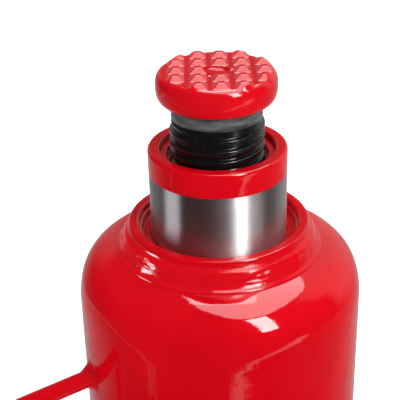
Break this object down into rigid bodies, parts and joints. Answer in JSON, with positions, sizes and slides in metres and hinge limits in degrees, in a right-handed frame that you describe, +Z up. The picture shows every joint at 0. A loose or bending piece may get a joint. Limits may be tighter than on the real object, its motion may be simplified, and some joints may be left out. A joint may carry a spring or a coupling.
{
  "type": "bottle jack",
  "caption": "Red hydraulic bottle jack with a round oil tank, ground steel ram, turned-out extension screw, cross-cut saddle, lever pump and side carry handle.",
  "frame": {"origin": "on the ram axis, at the underside of the base", "axes": "+Z up along the ram; the pump and lever socket face -Y; the carry handle is at -X"},
  "size_m": [0.271, 0.3596, 0.3675],
  "materials": {
    "red_enamel": "gloss",
    "ground_steel": "ground",
    "black_oxide": "oiled",
    "zinc_plate": "satin",
    "steel_internal": "machined",
    "seal_rubber": "satin",
    "guide_plastic": "satin",
    "soft_copper": "satin",
    "weld_painted": "gloss",
    "ball_steel": "polished"
  },
  "bodies": {
    "frame": {"base": "red_enamel", "cylinder_base_gasket": "soft_copper", "cylinder_tube": "steel_internal", "tank_shell": "red_enamel", "tank_base_weld": "weld_painted", "top_nut": "red_enamel", "ram_wiper": "seal_rubber", "ram_rod_seal": "seal_rubber", "tank_neck_oring": "seal_rubber", "carry_handle": "red_enamel", "carry_handle_welds": "weld_painted", "pump_seat_gasket": "soft_copper", "pump_cylinder": "red_enamel", "pump_rod_seal": "seal_rubber", "pump_wiper": "seal_rubber", "outlet_valve_screw": "steel_internal", "suction_strainer": "soft_copper", "release_valve_gland": "zinc_plate", "release_valve_oring": "seal_rubber", "overload_valve_seat_screw": "steel_internal", "overload_valve_plug": "zinc_plate", "overload_valve_spring": "steel_internal"},
    "ram": {"ram": "ground_steel", "piston_cup_seal": "seal_rubber", "piston_guide_ring": "guide_plastic", "piston_retainer": "steel_internal", "piston_retainer_screw": "black_oxide", "screw_stop_ring": "red_enamel"},
    "saddle": {"saddle": "red_enamel"},
    "screw": {"extension_screw": "black_oxide"},
    "pump_link": {"link_plates": "zinc_plate", "link_base_pin": "zinc_plate", "link_base_clip": "zinc_plate", "link_top_pin": "zinc_plate", "link_top_clip": "zinc_plate"},
    "lever_socket": {"handle_socket": "red_enamel"},
    "plunger": {"pump_plunger": "ground_steel", "plunger_guide_ring": "guide_plastic", "plunger_pin": "zinc_plate", "plunger_pin_clip": "zinc_plate"},
    "inlet_ball": {"inlet_valve_ball": "ball_steel"},
    "outlet_ball": {"outlet_valve_ball": "ball_steel"},
    "overload_ball": {"overload_valve_ball": "ball_steel"},
    "release_ball": {"release_valve_ball": "ball_steel"},
    "release_screw": {"release_valve_screw": "zinc_plate"},
    "filler_plug": {"filler_plug": "seal_rubber"}
  },
  "joints": [
    {"name": "ram_lift", "type": "slide", "parent": "frame", "child": "ram", "axis": [0, 0, 1], "range_m": [-0.036, 0.114]},
    {"name": "screw_rise", "type": "slide", "parent": "ram", "child": "saddle", "axis": [0, 0, 1], "range_m": [-0.032, 0.049]},
    {"name": "screw_turn", "type": "hinge", "parent": "saddle", "child": "screw", "pos_m": [0, 0, 0.33], "axis": [0, 0, 1], "range_deg": [-1645.7, 2520]},
    {"name": "link_sway", "type": "hinge", "parent": "frame", "child": "pump_link", "pos_m": [0, -0.112, 0.055], "axis": [1, 0, 0], "range_deg": [-0.2, 1.3]},
    {"name": "pump_stroke", "type": "hinge", "parent": "pump_link", "child": "lever_socket", "pos_m": [0, -0.11836, 0.14477], "axis": [-1, 0, 0], "range_deg": [0, 37]},
    {"name": "plunger_travel", "type": "slide", "parent": "frame", "child": "plunger", "axis": [0, 0, 1], "range_m": [-0.0002, 0.0147]},
    {"name": "inlet_ball_lift", "type": "slide", "parent": "frame", "child": "inlet_ball", "axis": [0, 0, 1], "range_m": [0, 0.0012]},
    {"name": "outlet_ball_lift", "type": "slide", "parent": "frame", "child": "outlet_ball", "axis": [0, 0, 1], "range_m": [0, 0.0015]},
    {"name": "overload_ball_lift", "type": "slide", "parent": "frame", "child": "overload_ball", "axis": [0, -1, 0], "range_m": [0, 0.0008], "stiffness_N_per_m": 1500, "deforming": ["overload_valve_spring"]},
    {"name": "release_ball_lift", "type": "slide", "parent": "frame", "child": "release_ball", "axis": [0, -1, 0], "range_m": [0, 0.00225]},
    {"name": "release_valve_turn", "type": "hinge", "parent": "release_ball", "child": "release_screw", "pos_m": [0.048, -0.15, 0.027], "axis": [0, -1, 0], "range_deg": [0, 540]},
    {"name": "filler_plug_pull", "type": "slide", "parent": "frame", "child": "filler_plug", "axis": [0.5299, 0.848, 0], "range_m": [0, 0.02]}
  ],
  "couplings": [
    {"joint": "screw_rise", "follows": "screw_turn", "m_per_rad": 0.0011141},
    {"joint": "link_sway", "follows": "pump_stroke", "ratio": 0.0305},
    {"joint": "plunger_travel", "follows": "pump_stroke", "m_per_rad": 0.02255},
    {"joint": "release_valve_turn", "follows": "release_ball_lift", "rad_per_m": 4188.8}
  ]
}
